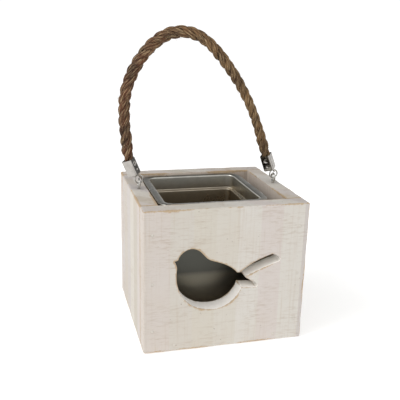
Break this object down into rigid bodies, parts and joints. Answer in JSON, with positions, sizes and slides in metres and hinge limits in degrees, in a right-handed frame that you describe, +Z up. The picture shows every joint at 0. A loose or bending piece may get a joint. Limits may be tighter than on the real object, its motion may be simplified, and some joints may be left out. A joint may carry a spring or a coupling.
{
  "type": "hanging lantern",
  "caption": "Square wooden box lantern with a bird cut through the front, a lift-out metal liner and a hinged rope handle.",
  "frame": {"origin": "centre of the underside of the wooden box", "axes": "+X to the right when facing the bird, +Y to the back, +Z up; the handle stands upright at rest"},
  "size_m": [0.1501, 0.132, 0.2625],
  "materials": {
    "whitewashed_pine": "whitewashed, satin",
    "pressed_steel": "satin zinc plated",
    "clamp_steel": "polished nickel plated",
    "wire_steel": "bright wire",
    "brad_steel": "painted over",
    "sisal_rope": "coarse laid fibre"
  },
  "bodies": {
    "case": {"front_board": "whitewashed_pine", "back_board": "whitewashed_pine", "left_board": "whitewashed_pine", "right_board": "whitewashed_pine", "base_board": "whitewashed_pine", "front_brads": "brad_steel", "back_brads": "brad_steel", "base_brads": "brad_steel", "left_screw_eye": "wire_steel", "right_screw_eye": "wire_steel"},
    "liner": {"liner_tub": "pressed_steel"},
    "left_link": {"left_ring": "wire_steel"},
    "right_link": {"right_ring": "wire_steel"},
    "handle": {"rope": "sisal_rope", "left_clamp": "clamp_steel", "right_clamp": "clamp_steel"}
  },
  "joints": [
    {"name": "liner_lift", "type": "slide", "parent": "case", "child": "liner", "axis": [0, 0, 1], "range_m": [0, 0.01]},
    {"name": "left_ring_swing", "type": "hinge", "parent": "case", "child": "left_link", "pos_m": [-0.0625, 0, 0.1292], "axis": [1, 0, 0], "range_deg": [-65, 65]},
    {"name": "right_ring_swing", "type": "hinge", "parent": "case", "child": "right_link", "pos_m": [0.0625, 0, 0.1292], "axis": [1, 0, 0], "range_deg": [-65, 65]},
    {"name": "handle_swing", "type": "hinge", "parent": "left_link", "child": "handle", "pos_m": [-0.0625, 0, 0.1365], "axis": [1, 0, 0], "range_deg": [-20, 20]}
  ],
  "couplings": [
    {"joint": "right_ring_swing", "follows": "left_ring_swing", "ratio": 1}
  ]
}
